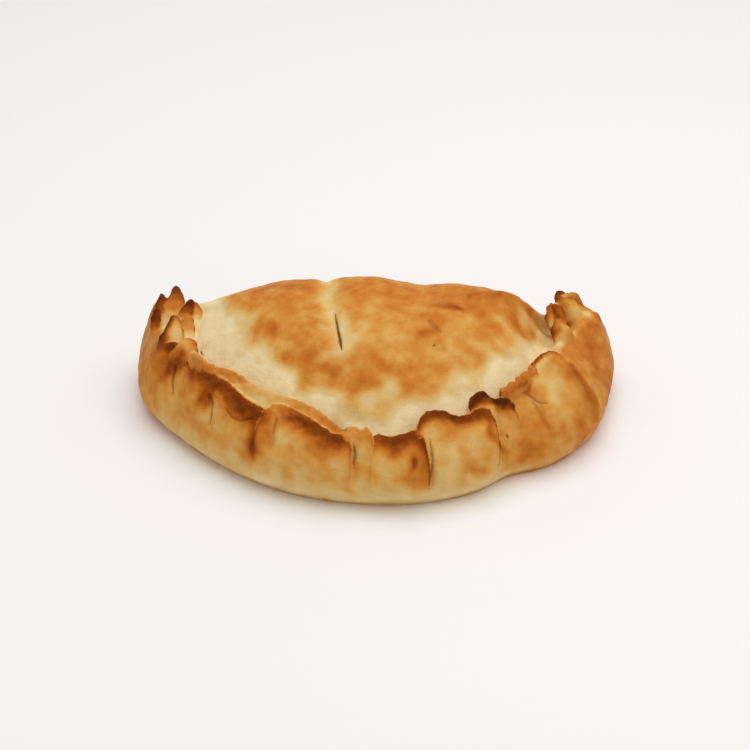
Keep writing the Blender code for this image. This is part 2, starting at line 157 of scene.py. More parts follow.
# Ridges and hollows that run down the wall: angle at the top and at the foot, reach in degrees,
# size outward, and the heights of the foot and the top. They set in over the lowest part of that.
WALL_FOLDS = (
    (202, 206, 2.4, 1.8, 8, 38),
    (208, 212, 2.2, -2.2, 12, 40),
    (214.5, 222, 2.4, 1.2, 16, 38),
    (222.5, 227, 1.3, -2.0, 14, 33),
    (239, 241, 1.6, 1.6, 9, 32),
    (243.8, 244.5, 1.6, -1.2, 18, 33),
    (264.6, 265, 0.9, -2.2, 10, 29),
    (283.2, 281.8, 0.8, -1.6, 5, 27),
    (302.6, 299, 0.9, -1.4, 8, 30),
    (313.5, 315, 1.2, -1.2, 20, 33),
)
FOLD_FADES_OVER = 0.4
# The flat top of the rim, wide where the ends roll over into a horn, and the valley behind it
RIM_TOP_WIDTH = (
    (90, 0),
    (125, 0),
    (140, 8),
    (165, 9),
    (185, 8),
    (200, 6),
    (215, 3.5),
    (300, 3),
    (318, 3),
    (332, 5),
    (345, 13),
    (360, 17),
    (385, 15),
    (400, 9),
    (412, 5),
    (424, 0),
    (450, 0),
)
RIM_TOP_ROUNDING = 0.12
RIM_TOP_FALLS = (0.4, 1)
VALLEY_DEPTH = 4.5

# The puffed top: its centre, the height of its crest from end to end, and how blunt it is
TOP_CENTRE = np.array([0.0, 12.0])
CREST = (
    (-92, 32),
    (-80, 37),
    (-70, 43),
    (-58, 48),
    (-38, HEIGHT - 1.2),
    (-6, HEIGHT - 0.4),
    (6, HEIGHT - 0.6),
    (42, HEIGHT - 1.0),
    (50, 51.6),
    (56, 50.6),
    (64, 44.2),
    (70, 35.5),
    (76, 27.5),
    (84, 27.5),
    (92, 28),
)
TOP_POWER_FRONT = 2.0
TOP_POWER_BACK = 4.0
TOP_BLUNT_FRONT = 1.0
TOP_BLUNT_BACK = 0.5
TOP_TURNS_BLUNT = (-0.9, 0.8)
# The pinched groove, its flanks and the dip that part the top into three lobes, and the hollow at
# its rear right end: middle at y = 0 and its slant along y, reach, size, and the y from which each
# sets in and is whole
TOP_DIPS = (
    (-16.5, -0.1, 3.6, -1.7, -12, 4),
    (-18.5, -0.1, 13, -1.2, -8, 25),
    (19, 0, 12, -4.2, 2, 34),
    (75, 0, 8, -8, 24, 44),
)

# Flaps of the crimped rim. The free edge runs through a few (angle, inset, height) points. foot is
# the height where the flap grows out of the wall, stand how far it stands out of it, lift how much
# farther at its two side edges, and skew how far those move round from the edge to the foot. The
# browning of its lip is given by rows of (share along the edge, strength, width), that of its
# right side by a strength and a width.
FLAP_SIDE_ROUNDING = 0.05
FLAP_SWELLS = (0, 0.55)
FLAP_SINKS = (0.75, 1)
FLAP_LEANS_FROM = 0.1
SIDE_BAND_FROM = (0.2, 0.5)
LIFT_POWER = 3
FLAPS = {
    "left long": dict(
        edge=(
            (199, 9, 33),
            (200, 10, 36.5),
            (202.4, 12, 38),
            (204.5, 16, 37.7),
            (207.5, 16, 37),
            (213.5, 13.8, 36.5),
            (219, 12, 36),
            (224, 13.5, 35),
            (231.6, 12.5, 33),
            (239.4, 12.5, 30.5),
        ),
        foot=12,
        stand=1.2,
        lift=(0.6, 0),
        lip=(
            (0, 0.75, 4),
            (0.3, 0.9, 5),
            (0.44, 0.9, 6),
            (0.56, 0.82, 4),
            (0.67, 0.84, 5),
            (0.83, 0.88, 6),
            (1, 0.86, 7),
        ),
    ),
    "left inner": dict(
        edge=(
            (206, 15.5, 36),
            (212, 15, 39),
            (219.4, 15, 38.3),
            (224, 18, 37.5),
            (231.7, 18.7, 36),
            (240.4, 19.6, 34.5),
            (248, 21, 33.5),
            (254.7, 18.9, 32),
            (262.5, 12.5, 29.5),
        ),
        foot=24,
        stand=0.0,
        thick=INNER_FLAP_THICKNESS,
        lip=((0, 0.3, 3), (0.18, 0.5, 4), (0.36, 0.66, 4), (0.5, 0.34, 4), (0.7, 0.5, 5), (1, 0.66, 6)),
    ),
    "front left": dict(
        edge=(
            (239.2, 11, 28),
            (240.2, 12.2, 31.5),
            (242.3, 15.5, 33),
            (249.8, 15, 32),
            (256, 12.5, 30.5),
            (261.4, 10, 29),
            (263.6, 11.5, 28.8),
            (264.2, 11, 27),
        ),
        foot=8,
        stand=1.5,
        lift=(1.2, 0.8),
        skew=(2.6, 0),
        lip=((0, 0.5, 2), (0.25, 0.6, 3), (0.45, 0.85, 4), (0.8, 0.88, 4.5), (1, 0.8, 4.5)),
    ),
    "pinch back": dict(
        edge=(
            (261.5, 13, 29),
            (262.5, 12.8, 31),
            (264.9, 13.9, 31),
            (266.4, 12.9, 30.6),
            (267.6, 13.7, 31),
            (269.5, 11.5, 29),
        ),
        foot=18,
        stand=0.4,
        thick=INNER_FLAP_THICKNESS,
        lip=((0, 0.5, 3.5), (1, 0.5, 3.5)),
    ),
    "pinch": dict(
        edge=(
            (263.5, 12, 27),
            (264.3, 12, 27.6),
            (266.3, 10.6, 27),
            (268.8, 11.4, 27),
            (270, 11.5, 26.5),
        ),
        foot=10,
        stand=-0.4,
        lip=((0, 0.65, 3), (0.5, 0.4, 2), (1, 0.45, 2)),
    ),
    "front middle": dict(
        edge=(
            (268.8, 11.5, 25),
            (269.5, 12.3, 27.2),
            (270.8, 13.5, 28),
            (272.5, 12.3, 28),
            (276.1, 12.2, 28.5),
            (280, 13.4, 29.4),
            (281.7, 11.6, 28.5),
            (282.6, 11, 25),
        ),
        foot=4,
        stand=1.4,
        lift=(0.8, 3.0),
        skew=(0, -1.0),
        lip=((0, 0.7, 3), (0.3, 0.9, 3.6), (0.7, 0.9, 4), (1, 1, 6)),
        right_side=(0.85, 5.0),
    ),
    "front right": dict(
        edge=(
            (279.8, 13.2, 28),
            (280.6, 14.3, 30.5),
            (282.2, 17.3, 32.4),
            (285.1, 19.3, 33.2),
            (289.2, 17.3, 33),
            (292.5, 14.8, 31.2),
            (295.5, 14.2, 31.6),
            (298.6, 13.5, 32),
            (301.2, 12.8, 31.3),
            (302, 11.5, 28),
        ),
        foot=6,
        stand=0.8,
        lift=(-0.8, 2.6),
        skew=(0, -2.2),
        lip=((0, 0.5, 3), (0.15, 0.92, 3.2), (0.4, 0.95, 3), (0.6, 0.95, 2.6), (0.8, 0.9, 3), (1, 0.8, 5)),
        right_side=(0.8, 3.2),
    ),
    "curl": dict(
        edge=(
            (296.2, 17, 31.5),
            (297.8, 19.2, 34.2),
            (300.4, 19.2, 35.3),
            (302.6, 17.5, 35.2),
            (304.2, 14, 33.7),
            (305.6, 13.6, 33.2),
            (306.9, 12.7, 33),
            (308.2, 10, 30.5),
        ),
        foot=20,
        stand=0.4,
        thick=INNER_FLAP_THICKNESS,
        lip=((0, 1.0, 4.4), (0.4, 1.04, 4.4), (1, 1.0, 4.4)),
    ),
    "right": dict(
        edge=(
            (314.5, 17, 31.5),
            (317, 20.5, 34.5),
            (323.9, 25, 37.2),
            (327.8, 24.3, 38.8),
            (330, 20.8, 38.8),
            (330.6, 16.9, 37),
            (329.6, 12.5, 34.8),
            (329, 8, 31.5),
            (328.6, 4.3, 27),
            (328.3, 1.6, 21),
        ),
        foot=8,
        stand=1.5,
        lip=((0, 0.3, 1.6), (0.2, 0.9, 0.8), (0.4, 0.9, 0.8), (0.5, 0.3, 1.4), (1, 0.1, 2)),
    ),
}

# Leaves of dough at the two horns and the small overlapping folds beside them: root and tip as
# (x, y, z), half the width, how far it widens at the root (spread), how far the middle bows up and
# the sides hang (bow, droop), how blunt the tip is (tip_power), and the way that it faces. Its
# browning is plain in the middle and darker at the edge and tip (brown), more on one flank (flank),
# which is partly browning and partly painted shade on the shaded side of the hoods, and dark_tip is
# the length of the dark tip.
LEAVES = {
    "left outer lobe": dict(
        root=(-92.5, 22, 31),
        tip=(-93.6, 34.5, 38),
        half_width=2.6,
        tip_power=2.6,
        brown=(0.74, 0.95),
        dark_tip=5,
    ),
    "left outer tip": dict(
        root=(-91.5, 28, 33),
        tip=(-91.9, 41, 42.4),
        half_width=3.3,
        tip_power=1.7,
        brown=(0.60, 1.0),
        dark_tip=7,
    ),
    "left main tip": dict(
        root=(-85.8, 23, 31.5),
        tip=(-86.1, 44.3, 43.9),
        half_width=6.8,
        bow=0.5,
        tip_power=1.6,
        brown=(0.58, 1.0),
        dark_tip=7,
    ),
    "left inner tip": dict(
        root=(-80.5, 25, 33.5),
        tip=(-79, 36.9, 41.4),
        half_width=3.4,
        tip_power=1.9,
        brown=(0.76, 1.0),
        dark_tip=6,
    ),
    "left inner lobe": dict(
        root=(-77.5, 27, 34),
        tip=(-76.0, 36.4, 40.0),
        half_width=2.6,
        brown=(0.40, 0.80),
    ),
    "left scallop": dict(
        root=(-81, 16, 32.5),
        tip=(-78.4, 28.0, 39.0),
        half_width=3.8,
        tip_power=3,
        brown=(0.50, 0.66),
    ),
    "left hood": dict(
        root=(-86, 2, 27),
        tip=(-84.6, 24.3, 41.8),
        half_width=5.4,
        spread=1,
        bow=1.5,
        droop=0.5,
        tip_power=3,
        brown=(0.26, 0.92),
        flank=0.8,
    ),
    "left small fold": dict(
        root=(-84, 2, 31.5),
        tip=(-73.8, 6.5, 39.2),
        half_width=5.8,
        bow=1.2,
        droop=0.3,
        tip_power=5,
        brown=(0.24, 0.70),
        facing=(0.0, -0.3, 0.95),
    ),
    "right main tip": dict(
        root=(86.4, 31, 33),
        tip=(79.2, 44.4, 41.6),
        half_width=4.8,
        bow=0.8,
        droop=0.5,
        tip_power=3.2,
        brown=(0.42, 0.94),
        dark_tip=5,
    ),
    "right oval": dict(
        root=(79.4, 25, 32),
        tip=(77.6, 34, 41),
        half_width=2.9,
        bow=1.0,
        droop=0.4,
        tip_power=3.5,
        brown=(0.72, 0.80),
    ),
    "right ball": dict(
        root=(76.4, 27, 32),
        tip=(74.2, 35.6, 40.4),
        half_width=2.2,
        bow=0.8,
        droop=0.3,
        tip_power=3,
        brown=(0.55, 0.80),
    ),
    "right hood": dict(
        root=(80, 13, 32),
        tip=(77.4, 24.0, 40.3),
        half_width=4.3,
        bow=1.4,
        droop=0.5,
        tip_power=5,
        brown=(0.30, 0.70),
        flank=0.35,
    ),
}
# Thickness, outline, rounding and browning that all leaves share
LEAF_THICKNESS = 2.2
LEAF_ROOT_THICKER = 4.0
LEAF_OUTLINE_POWER = 0.7
LEAF_ROOT_ROUNDING = (0.1, 0.5)
LEAF_SIDE_ROUNDING = 0.35
LEAF_END_ROUNDING = 0.15
LEAF_LIFTS = 0.7
LEAF_NARROWEST = 0.2
LEAF_EDGE = 1.0
LEAF_TIP = 3.6
LEAF_SIDE_BROWN = 0.6
LEAF_SIDE_FROM = (0.3, 0.9)
LEAF_FLANK = (-0.2, 0.9)
LEAF_WANDER = 0.7
LEAF_WANDER_TURNS = 7.0
LEAF_BROWN_FROM = (0.1, 0.55)
LEAF_FACING = (0.0, -0.66, 0.75)
# The twisted ridges between the curl and the right flap
ROPE_START = (51.5, -20.0, 34.6)
ROPE_END = (63.0, -7.5, 36.3)
ROPE_RIDGES = 5
ROPE_LEAN = (2.6, -4.6, -5.0)
ROPE_HALF_WIDTH = (3.6, 2.0)
ROPE_BOW = 1.8
ROPE_DROOP = 0.5
ROPE_BROWN = (0.44, 0.60)

# Steps of the meshes that the crust is fused from, and its final fineness
BODY_STEPS = 720
RUN_STEPS = 14400
RIM_SMOOTHING = BODY_STEPS // 90
TOP_ROUNDING = BODY_STEPS // 14
WALL_RINGS = 40
RIM_TOP_SHARES = np.linspace(0.07, 1, 14)
TOP_RINGS = 90
FLAP_STEPS = (150, 80)
LEAF_STEPS = (44, 32)
FUSING_VOXEL = 0.58
FUSED_SMOOTHING = 5
TRIANGLES = 188000

# Random swells are sums of so many waves, and this much of a wave fits into the size asked for
LUMP_WAVES = 28
LUMP_SPREAD = (0.5, 1.3)
# Points are placed against every so many steps of the outline, so many points at a time
NEAREST_EVERY = 20
CHUNK = 20000

# Browning from 0, floury pale, to 1, burnt. The colours of the top set in this far inside the rim
# and where the crust faces up.
TOP_SETS_IN = (0.5, 5)
TOP_FACES_UP = (0.05, 0.4)
TOP_GOLD = 0.52
TOP_PALE = 0.03
GOLD_CENTRE = (0, 14)
GOLD_EDGE = (0.80, 1.10)
# How far the gold reaches from its centre, by angle round it counted 90 to 450
GOLD_REACH = (
    (90, 60),
    (140, 74),
    (155, 73),
    (170, 61),
    (185, 53),
    (200, 50),
    (216, 47),
    (250, 44),
    (270, 46),
    (297, 45),
    (320, 47.5),
    (333, 51),
    (351, 63),
    (372, 74),
    (400, 80),
    (450, 60),
)
# Browned (more) and pale (less) patches of the top: middle and reach in x and y, and how much
TOP_PATCHES = (
    ((0, 31), (24, 12), 0.10),
    ((-38, 34), (18, 11), 0.12),
    ((46, 30), (18, 12), 0.17),
    ((-40, 5), (10, 8), 0.12),
    ((-29, -14), (8, 5), 0.15),
    ((-12, -21), (9, 5), 0.10),
    ((8, -20), (12, 6), 0.13),
    ((25, -25), (9, 6), -0.13),
    ((33, 20), (4, 3.5), 0.25),
    ((47, 15), (5, 4.5), 0.16),
    ((61, 21), (4.5, 5), 0.18),
    ((48, 4), (6, 4), 0.09),
    ((42, -7), (9, 2.5), 0.12),
    ((22, 4), (4, 4), 0.18),
    ((-68, 18), (10, 16), -0.15),
    ((84, 33), (5, 6), -0.1),
    ((90, 24), (9, 17), 0.46),
    ((82, 30), (5, 6), 0.06),
    ((-10, -5), (6, 7), -0.24),
    ((3, -7), (9, 7), -0.07),
    ((35, -4), (4, 5), -0.14),
    ((52, 8), (9, 5), -0.10),
)
# The pale groove from the back silhouette down to the slit
GROOVE = ((-20.5, 45), (-19.2, 30), (-17, 14), (-14, -8))
GROOVE_REACH = 4.4
GROOVE_PALER = 0.42
# The plain browning of the wall round the crust, by angle counted 90 to 450
WALL_BROWNING = (
    (90, 0.50),
    (150, 0.50),
    (180, 0.60),
    (197, 0.56),
    (218, 0.44),
    (300, 0.42),
    (309, 0.53),
    (330, 0.50),
    (345, 0.58),
    (380, 0.60),
    (450, 0.50),
)
# The foot of the wall is paler: wholly below the first height and not above the second, and
# wholly within the second angle from the middle and not past the first,
WALL_FOOT_PALER = 0.30
WALL_FOOT_HEIGHTS = (2, 17)
WALL_FOOT_MIDDLE = 262
WALL_FOOT_ENDS = (78, 34)
# and painted darker with contact shade where it touches the ground
WALL_CONTACT_SHADE = 0.2
WALL_CONTACT_HEIGHTS = (0, 5)
# Browned and pale patches of the wall: angle and height of the middle, reach along and up, how much
WALL_PATCHES = (
    ((238.8, 26), (3.4, 9), 0.52),
    ((223, 27), (1.6, 6), 0.2),
    ((323, 30.5), (4, 3.5), 0.06),
    ((232.5, 32), (4, 2.5), 0.16),
    ((301.2, 24), (1.5, 9), 0.34),
    ((206.8, 35), (3.2, 7), 0.34),
    ((204.5, 28), (4.5, 12), 0.16),
    ((216, 32), (4, 7), 0.2),
    ((221, 28), (2.5, 6), 0.15),
    ((257, 24), (8, 4), 0.09),
    ((262, 27), (4, 3), 0.1),
    ((277, 19.5), (2.6, 4), 0.46),
    ((221.5, 29), (2.8, 8), 0.28),
    ((200, 31), (5, 6), 0.15),
    ((242.9, 27.7), (4, 4), 0.14),
    ((255.5, 22), (4.5, 3), 0.14),
    ((261, 25), (3, 4), 0.06),
    ((289.2, 24.3), (3.5, 4.5), 0.17),
    ((294, 12.5), (3, 2.5), 0.16),
    ((354.5, 35), (7, 6), 0.18),
    ((343, 20), (9, 11), 0.14),
    ((245, 10), (9, 5), -0.1),
    ((281, 8), (4, 5), -0.1),
    ((280.5, 20), (3, 7), 0.22),
    ((291.5, 14), (2.5, 3), 0.14),
    ((315, 22), (4, 4), 0.14),
    ((327, 24), (10, 6), 0.1),
    ((323, 11), (8, 5), 0.2),
    ((308, 12), (10, 5), 0.22),
    ((330, 34), (7, 5), 0.14),
    ((227, 27), (4, 5), -0.08),
    ((248, 27), (5, 6), -0.05),
    ((287, 22), (6, 8), -0.08),
    ((320.5, 29.5), (7, 6), -0.3),
    ((207, 22), (3.5, 9), -0.12),
)
# Creases: where they are, points (x, y on the top, angle and height on the wall), half width,
# where along it it is widest, depth and how dark the painted shade in it is
CREASES = (
    ("top", ((-16.8, 14), (-16.2, 8), (-15.2, 1.5), (-14.2, -5), (-13.2, -10.5)), 0.55, 0.8, 1.3, 1.0),
    ("top", ((22, 7.5), (23.6, 4), (27, 0)), 1.2, 0.3, 0.7, 0.3),
    ("top", ((23.9, -5.8), (23.95, -5.9)), 0.45, 0.5, 0.6, 1.0),
    ("top", ((-31, 16), (-27, 14), (-24, 14.5)), 0.7, 0.5, 0.3, 0.12),
    ("top", ((-29, 10), (-26, 8)), 0.7, 0.5, 0.3, 0.12),
    ("top", ((-72.8, 10), (-71.8, 4.5), (-72.4, -0.5)), 0.6, 0.5, 0.8, 0.8),
    ("wall", ((207.3, 33), (208.6, 26.5), (210.2, 21)), 0.55, 0.4, 0.8, 0.5),
    ("wall", ((222.6, 30.5), (225, 24.5), (225.6, 19.5)), 0.7, 0.4, 1.0, 0.46),
    ("wall", ((229.5, 28.3), (232, 26.6), (234.5, 26.4), (237.5, 28.2)), 0.6, 0.5, 0.8, 0.24),
    ("wall", ((243.8, 30.5), (244.4, 26)), 0.6, 0.5, 0.7, 0.35),
    ("wall", ((264.6, 27.6), (265.1, 22.9), (264.8, 17.5)), 0.45, 0.4, 0.9, 0.55),
    ("wall", ((283.6, 27), (283.3, 20), (281.8, 12)), 0.5, 0.3, 0.8, 0.6),
    ("wall", ((301.9, 27), (300.3, 19), (298.8, 11)), 0.5, 0.3, 0.5, 0.4),
    ("wall", ((316.4, 34), (313.4, 30.6), (314.8, 28.4), (317, 27.6)), 0.6, 0.4, 0.6, 0.22),
    ("wall", ((303.7, 21.2), (303.75, 21.1)), 0.7, 0.5, 0.4, 0.9),
)
# Their ends taper, and a point with no crease near it counts as this many half widths away
CREASE_TAPER_POWER = 0.6
CREASE_NARROWEST = 0.12
SLIT_FAR = 6.0
# Patches are shifted by swells of these sizes and seeds, less along the groove and on the wall.
# The groove loses this share of its paleness down to its front end.
PATCH_WARP = 2.0
PATCH_WARPS = ((12, 1, 2), (30, 7, 8))
GROOVE_WARP = 0.3
GROOVE_FADES = 0.5
WALL_WARP = 0.6
# Fine clouds in the browning: size, seed and strength
BROWN_CLOUDS = ((9, 3, 0.035), (4, 4, 0.02))
# Low relief, as size, seed and height: all over, on the top, and torn roughness along the lips,
# which sets in with their browning and height. It leaves the base flat.
GRAIN = (7, 5, 0.12)
TOP_SWELLS = (22, 6, 0.25)
TORN = (3.4, 9, 0.26)
TORN_LIPS = (0.2, 0.6)
TORN_HEIGHTS = (24, 30)
BASE_STAYS = (0.3, 3)

# Colours of the crust by browning, as display values
CRUST_COLOURS = (
    (0.00, (243, 221, 170)),
    (0.15, (230, 199, 138)),
    (0.30, (225, 184, 110)),
    (0.45, (220, 156, 74)),
    (0.58, (208, 129, 48)),
    (0.70, (190, 106, 32)),
    (0.80, (160, 78, 13)),
    (0.88, (132, 58, 3)),
    (0.95, (108, 43, 3)),
    (1.00, (74, 29, 4)),
)
# Noises as scale, detail and roughness, how far they shift the browning, and a shift to paler
MOTTLE_NOISE = (150, 6, 0.62)
MOTTLED = 0.23
SPECKLE_NOISE = (700, 2, 0.6)
SPECKLED = 0.10
PALER = 0.015
# Relief of the surface: grain, pores and the depth of both in metres
GRAIN_NOISE = (240, 8, 0.62)
PORE_NOISE = (1500, 3, 0.6)
PORES = 0.35
BUMP_STRENGTH = 0.5
BUMP_DISTANCE = 0.0011
# Mottling from the first of these to the second makes the roughness rise as given below
ROUGHENING = (0.3, 0.7)
ROUGHNESS = (0.52, 0.74)
SPECULAR = 0.16
# A slit is dark with painted shade within the first share of its half width and plain past the second
SLIT_EDGE = (0.3, 1.7)
GLOSS_TINT = (1.0, 0.7, 0.35, 1.0)
# The colour that multiplies the crust's colour where the creases are painted with shade
CREASE_SHADE_TINT = (0.26, 0.2, 0.085, 1.0)

# Floor, studio light and camera, in metres
FLOOR_HALF = 3.0
FLOOR_COLOUR = (0.955, 0.93, 0.908, 1)
FLOOR_ROUGHNESS = 0.7
WORLD_STRENGTH = 0.47
SOFTBOX_SIZE = (1.5, 1.3)
SOFTBOX_ENERGY = 10.5
SOFTBOX_PLACE = (0.16, 0.10, 1.15)
CAMERA_ELEVATION = math.radians(34.1)
CAMERA_AIM = (0, 0.040, 0)
CAMERA_DISTANCE = 0.70
CAMERA_LENS = 75.6
CAMERA_SENSOR = 36
CAMERA_NEAREST = 0.01


def ease(x, low, high):
    """0 below low, 1 above high, and a smooth step between."""
    t = np.clip((x - low) / (high - low), 0, 1)
    return t * t * (3 - 2 * t)


def bump(x, middle, reach):
    return np.exp(-(((x - middle) / reach) ** 2))


def curve_value(x, table):
    """A smooth curve through a few (place, value) pairs that never overshoots them."""
    places, values = np.array(table, float).T
    slope = np.diff(values) / np.diff(places)
    tangent = np.zeros(len(places))
    same = slope[1:] * slope[:-1] > 0
    before, after = slope[:-1][same], slope[1:][same]
    tangent[1:-1][same] = 2 * before * after / (before + after)
    x = np.clip(x, places[0], places[-1])
    i = np.clip(np.searchsorted(places, x, side="right") - 1, 0, len(places) - 2)
    step = places[i + 1] - places[i]
    share = (x - places[i]) / step
    return hermite(share, values[i], values[i + 1], step * tangent[i], step * tangent[i + 1])


def hermite(t, start, end, leave, arrive):
    """A cubic from start to end with the given tangents."""
    return (
        start * (1 + 2 * t) * (1 - t) ** 2
        + end * t * t * (3 - 2 * t)
        + leave * t * (1 - t) ** 2
        - arrive * t * t * (1 - t)
    )


def curve_through(points, steps):
    """Points of a smooth curve through a few rows, spaced by the distance between them."""
    points = np.array(points, float)
    gaps = np.linalg.norm(np.diff(points, axis=0), axis=1)
    at = np.concatenate([[0], np.cumsum(gaps)])
    tangent = np.gradient(points, at, axis=0)
    t = np.linspace(0, at[-1], steps)
    i = np.clip(np.searchsorted(at, t, side="right") - 1, 0, len(at) - 2)
    step = (at[i + 1] - at[i])[:, None]
    share = (t - at[i])[:, None] / step
    return hermite(share, points[i], points[i + 1], step * tangent[i], step * tangent[i + 1])


def plain_outline(angle):
    turn = np.radians(angle)
    across, along = np.cos(turn), np.sin(turn)
    square = np.sign(across) * np.abs(across) ** BACK_SQUARENESS
    x = np.where(along > 0, square, across) * LENGTH / 2
    y = WIDEST_Y + along * np.where(along > 0, BACK_DEPTH, FRONT_DEPTH)
    return np.stack([x, y], -1)


def outline(angle):
    """The widest outline at an angle, and the direction that points out of it."""
    run = plain_outline(angle + NEAR_ANGLE) - plain_outline(angle - NEAR_ANGLE)
    run /= np.linalg.norm(run, axis=-1, keepdims=True)
    out = np.stack([run[..., 1], -run[..., 0]], -1)
    turn = np.mod(angle, 360)
    wave = sum(size * bump(turn, middle, reach) for middle, reach, size in OUTLINE_WAVES)
    return plain_outline(angle) + out * wave[..., None], out


def from_back(angle):
    """The angle counted round from the middle of the back, 90 to 450."""
    return np.mod(angle - 90, 360) + 90


def frontness(angle):
    """1 round the crimped front, 0 along the fold at the back."""
    turn = from_back(angle) - 90
    return ease(turn, BACK_FOLD_END, FRONT_START) * ease(360 - turn, BACK_FOLD_END, FRONT_START)


def wall_inset(angle, z):
    """How far inside the widest outline the wall stands at height z."""
    front = frontness(angle)
    bulge = BULGE_HEIGHT_FRONT * front + BULGE_HEIGHT_BACK * (1 - front)
    tuck = TUCK_FRONT * front + TUCK_BACK * (1 - front)
    shoulder = curve_value(from_back(angle), RIM_HEIGHT)
    inset = curve_value(from_back(angle), RIM_INSET)
    under = tuck * np.clip(1 - np.maximum(z, 0) / bulge, 0, 1) ** 2
    lean = inset * np.clip((z - bulge) / (shoulder - bulge), 0, MOST_LEAN) ** WALL_LEAN
    return under + lean - wall_relief(angle, z)


def wall_relief(angle, z):
    """How far the folds that run down the wall stand out of it."""
    turn = from_back(angle)
    relief = 0.0
    for top, foot, reach, size, low, high in WALL_FOLDS:
        share = np.clip((z - low) / (high - low), 0, 1)
        middle = foot + (top - foot) * share
        relief = relief + size * bump(turn, middle, reach) * ease(share, 0, FOLD_FADES_OVER)
    return relief


def place(angle, inset, z):
    """Points on the crust from angle, inset and height."""
    edge, out = outline(angle)
    flat = edge - out * inset[..., None]
    return np.concatenate([flat, np.broadcast_to(z, inset.shape)[..., None]], -1)


def top_relief(x, y):
    """How far the groove, the dip and the hollow lower the crest of the top, as negative heights."""
    return sum(
        size * bump(x, middle + slant * y, reach) * ease(y, front, back)
        for middle, slant, reach, size, front, back in TOP_DIPS
    )


def smooth_round(values, reach=RIM_SMOOTHING):
    """The mean over neighbours each way round a closed row of values."""
    return sum(np.roll(values, shift) for shift in range(-reach, reach + 1)) / (2 * reach + 1)


def valley_line(angle):
    """Where the rim's top ends and the puffed top begins, seen from above."""
    shoulder = curve_value(from_back(angle), RIM_HEIGHT)
    plain = wall_inset(angle, shoulder) + wall_relief(angle, shoulder)
    away = place(angle, plain, shoulder)[:, :2] - TOP_CENTRE
    reach = np.hypot(*away.T) - curve_value(from_back(angle), RIM_TOP_WIDTH)
    turn = np.unwrap(np.arctan2(away[:, 1], away[:, 0]))
    turn = np.maximum.accumulate(turn)
    line = np.stack([np.cos(turn), np.sin(turn)], -1) * reach[:, None]
    return np.stack([smooth_round(line[:, 0]), smooth_round(line[:, 1])], -1)


def outline_run():
    """Fine angles round the outline and how far along it each one lies."""
    fine = np.linspace(90, 450, RUN_STEPS + 1)
    gaps = np.linalg.norm(np.diff(outline(fine)[0], axis=0), axis=1)
    return fine, np.concatenate([[0], np.cumsum(gaps)])


def even_angles():
    """Angles round the outline that are the same distance apart along it."""
    fine, run = outline_run()
    return np.interp(np.linspace(0, run[-1], BODY_STEPS, endpoint=False), run, fine)


def body_rings():
    """Rings round the calzone, from below the base up the wall, over the rim and to the top."""
    angle = even_angles()
    shoulder = curve_value(from_back(angle), RIM_HEIGHT)
    rings = [place(angle, wall_inset(angle, np.zeros(BODY_STEPS)), np.full(BODY_STEPS, BELOW_BASE))]
    for share in np.linspace(0, 1, WALL_RINGS):
        z = share * shoulder
        rings.append(place(angle, wall_inset(angle, z), z))
    wall_top = rings[-1][:, :2]
    away = valley_line(angle)
    width = np.linalg.norm(wall_top - TOP_CENTRE - away, axis=1)
    valley_z = smooth_round(shoulder) - VALLEY_DEPTH * frontness(angle)
    for share in RIM_TOP_SHARES:
        flat = wall_top * (1 - share) + (TOP_CENTRE + away) * share
        rounding = RIM_TOP_ROUNDING * width * np.sin(np.pi * share)
        z = shoulder + rounding + (valley_z - shoulder) * ease(share, *RIM_TOP_FALLS)
        rings.append(np.concatenate([flat, z[:, None]], 1))
    facing_front = ease(-away[:, 1] / np.linalg.norm(away, axis=1), *TOP_TURNS_BLUNT)
    power = TOP_POWER_FRONT * facing_front + TOP_POWER_BACK * (1 - facing_front)
    blunt = TOP_BLUNT_FRONT * facing_front + TOP_BLUNT_BACK * (1 - facing_front)
    rounder = np.stack([smooth_round(away[:, 0], TOP_ROUNDING), smooth_round(away[:, 1], TOP_ROUNDING)], -1)
    for share in np.linspace(1, 0, TOP_RINGS)[1:]:
        flat = TOP_CENTRE + (away * share**2 + rounder * (1 - share**2)) * share
        swell = (1 - share**power) ** blunt
        crest = curve_value(flat[:, 0], CREST) + top_relief(flat[:, 0], flat[:, 1])
        z = valley_z + (crest - valley_z) * swell
        rings.append(np.concatenate([flat, z[:, None]], 1))
    return np.array(rings)


def flap_sheets(edge, foot, stand, lip, thick=FLAP_THICKNESS, skew=(0, 0), lift=(0, 0), right_side=(0, 1)):
    """The outer and inner face of a flap that stands against the wall, and how far each is browned."""
    across, up = FLAP_STEPS
    curve = curve_through(edge, across)
    angle_top, inset_top, z_top = curve.T[:, :, None]
    u = np.linspace(0, 1, across)[:, None]
    v = np.linspace(0, 1, up)[None, :]
    angle = angle_top + (1 - v) * (skew[0] * (1 - u) + skew[1] * u)
    z = foot + (z_top - foot) * v
    miss = inset_top - wall_inset(angle_top, z_top)
    proud = stand + lift[0] * (1 - u) ** LIFT_POWER + lift[1] * u**LIFT_POWER
    proud = proud * ease(v, *FLAP_SWELLS) * (1 - ease(v, *FLAP_SINKS))
    face = wall_inset(angle, z) + miss * ease(v, FLAP_LEANS_FROM, 1) - proud
    rim = round_off((1 - v) * (z_top - foot) / (thick / 2))
    side = round_off(np.minimum(u, 1 - u) / FLAP_SIDE_ROUNDING)
    half = np.maximum(thick / 2 * rim * side, THINNEST)
    middle = face + thick / 2
    outer, inner = place(angle, middle - half, z), place(angle, middle + half + (1 - v), z)
    share, strength, reach = np.array(lip, float).T
    below = (1 - v) * (z_top - foot)
    from_right = (1 - u) * np.linalg.norm(np.diff(outer[:, -1], axis=0), axis=1).sum()
    top_band = np.interp(u, share, strength) * fading(below, np.interp(u, share, reach), LIP_FADING_POWER)
    side_band = right_side[0] * fading(from_right, right_side[1]) * ease(v, *SIDE_BAND_FROM)
    browned = 1 - (1 - top_band) * (1 - side_band)
    return outer, inner, browned, browned * INNER_FACE_BROWNING


